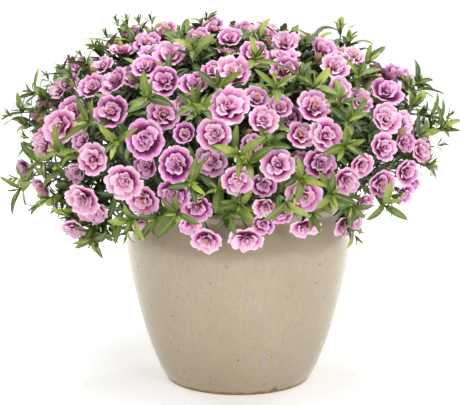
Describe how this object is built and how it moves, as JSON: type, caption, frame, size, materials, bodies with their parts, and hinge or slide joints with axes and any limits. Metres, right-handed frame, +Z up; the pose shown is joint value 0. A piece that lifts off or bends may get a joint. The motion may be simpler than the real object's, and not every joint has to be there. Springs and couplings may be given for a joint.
{
  "type": "calibrachoa",
  "caption": "A double calibrachoa in full bloom, a round mound of ruffled pink flowers over a glazed stoneware pot",
  "frame": {"origin": "the centre of the pot's flat base, on the floor", "axes": "+Z up along the pot's axis, +X to the right of the picture, -Y towards the viewer"},
  "size_m": [0.4538, 0.4018, 0.367],
  "materials": {
    "glaze": "glossy greige stoneware glaze with fine crackle and pinholes",
    "soil": null,
    "leaf": null,
    "petal": null
  },
  "bodies": {
    "root": {"blooms_01": "petal", "blooms_02": "petal", "blooms_03": "petal", "blooms_04": "petal", "blooms_05": "petal", "blooms_06": "petal", "blooms_07": "petal", "blooms_08": "petal", "blooms_09": "petal", "blooms_10": "petal", "blooms_11": "petal", "blooms_12": "petal", "blooms_13": "petal", "blooms_14": "petal", "blooms_15": "petal", "blooms_16": "petal", "blooms_17": "petal", "blooms_18": "petal", "blooms_19": "petal", "blooms_20": "petal", "blooms_21": "petal", "blooms_22": "petal", "blooms_23": "petal", "blooms_24": "petal", "blooms_25": "petal", "blooms_26": "petal", "blooms_27": "petal", "blooms_28": "petal", "blooms_29": "petal", "pot": "glaze", "shoot_01": "leaf", "shoot_02": "leaf", "shoot_03": "leaf", "shoot_04": "leaf", "shoot_05": "leaf", "shoot_06": "leaf", "shoot_07": "leaf", "shoot_08": "leaf", "shoot_09": "leaf", "shoot_10": "leaf", "shoot_11": "leaf", "shoot_12": "leaf", "shoot_13": "leaf", "shoot_14": "leaf", "shoot_15": "leaf", "shoot_16": "leaf", "shoot_17": "leaf", "shoot_18": "leaf", "shoot_19": "leaf", "shoot_20": "leaf", "shoot_21": "leaf", "shoot_22": "leaf", "shoot_23": "leaf", "shoot_24": "leaf", "shoot_25": "leaf", "shoot_26": "leaf", "shoot_27": "leaf", "shoot_28": "leaf", "shoot_29": "leaf", "soil": "soil"}
  },
  "joints": []
}
